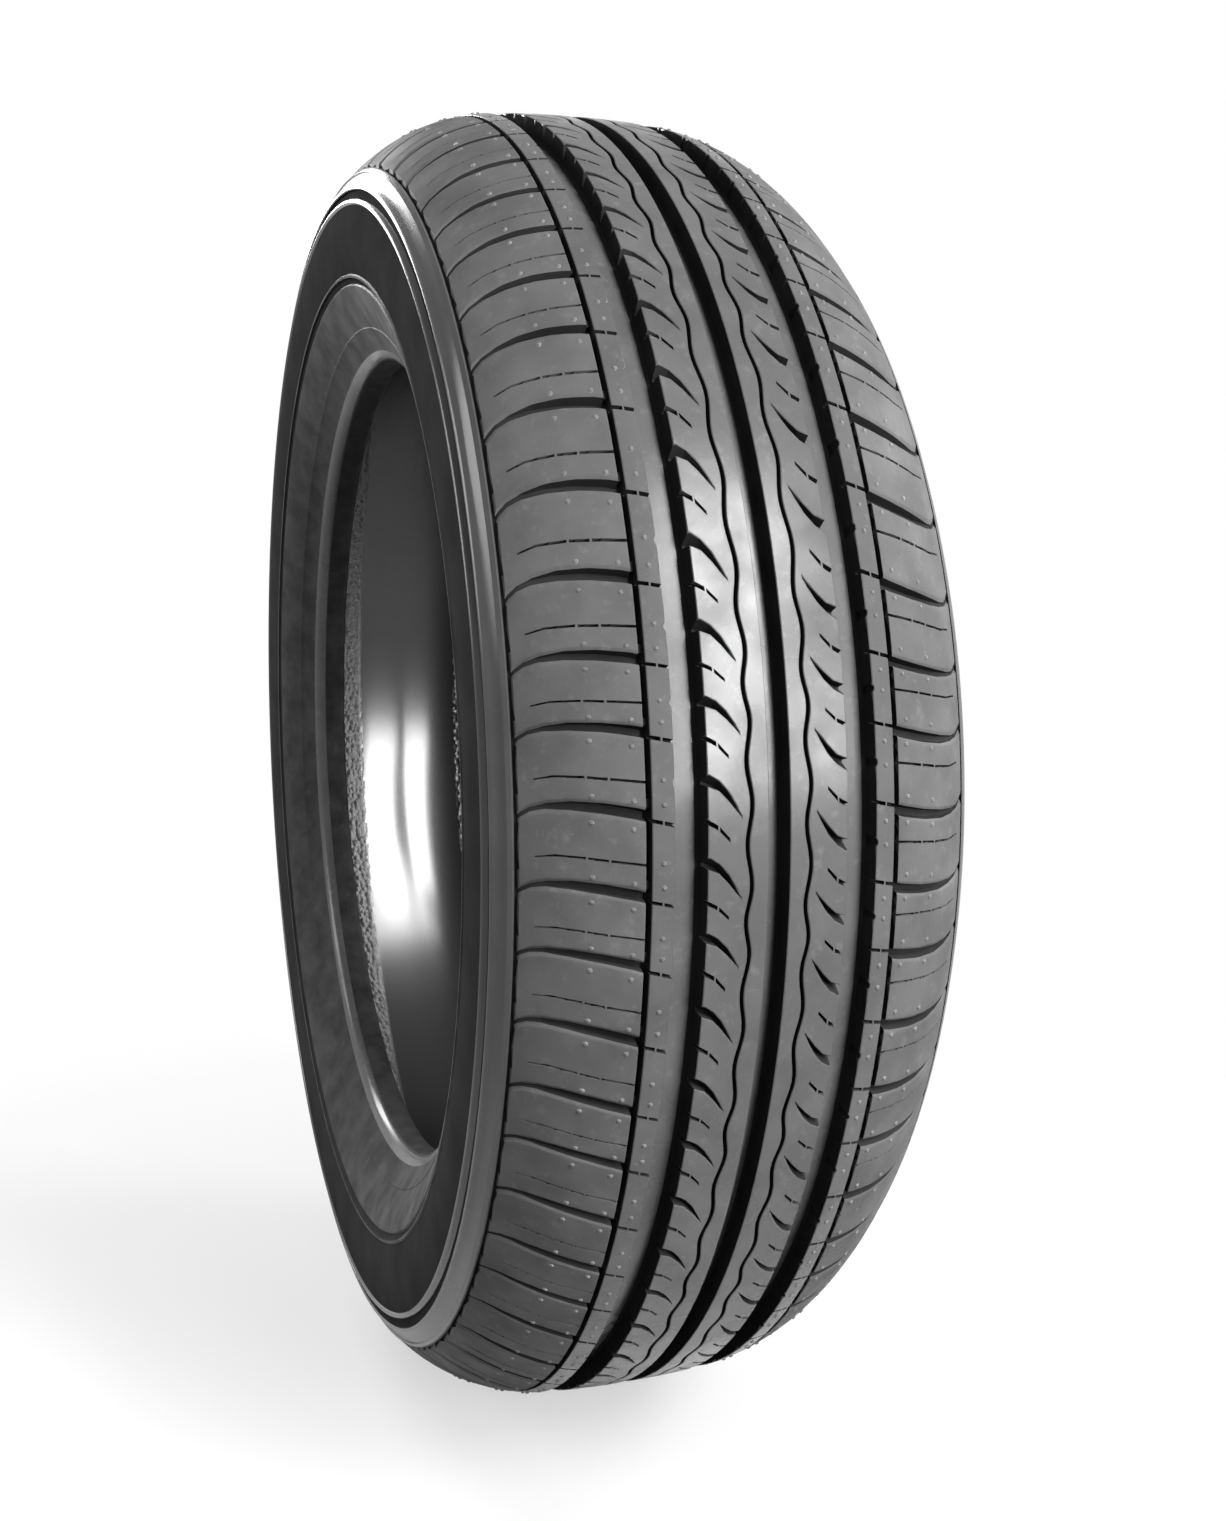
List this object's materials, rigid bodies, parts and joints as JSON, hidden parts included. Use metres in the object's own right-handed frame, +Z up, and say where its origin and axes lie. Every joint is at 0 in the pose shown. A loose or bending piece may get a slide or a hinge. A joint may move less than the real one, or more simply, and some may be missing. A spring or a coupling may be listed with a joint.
{
  "type": "car tyre",
  "caption": "Tubeless car tyre with ribbed tread, ring grooves, shoulder cross grooves in uneven pitches, and round bead seats that fit a wheel rim.",
  "frame": {"origin": "centre of the tyre, on its axle line and half way between the sidewalls", "axes": "+Y along the axle line, +Z up as the tyre stands on its tread, +X the way it rolls"},
  "size_m": [0.6027, 0.189, 0.6013],
  "materials": {
    "tyre": "moulded black rubber, satin, with a glossier inner liner"
  },
  "bodies": {
    "root": {"tyre": "tyre"}
  },
  "joints": []
}
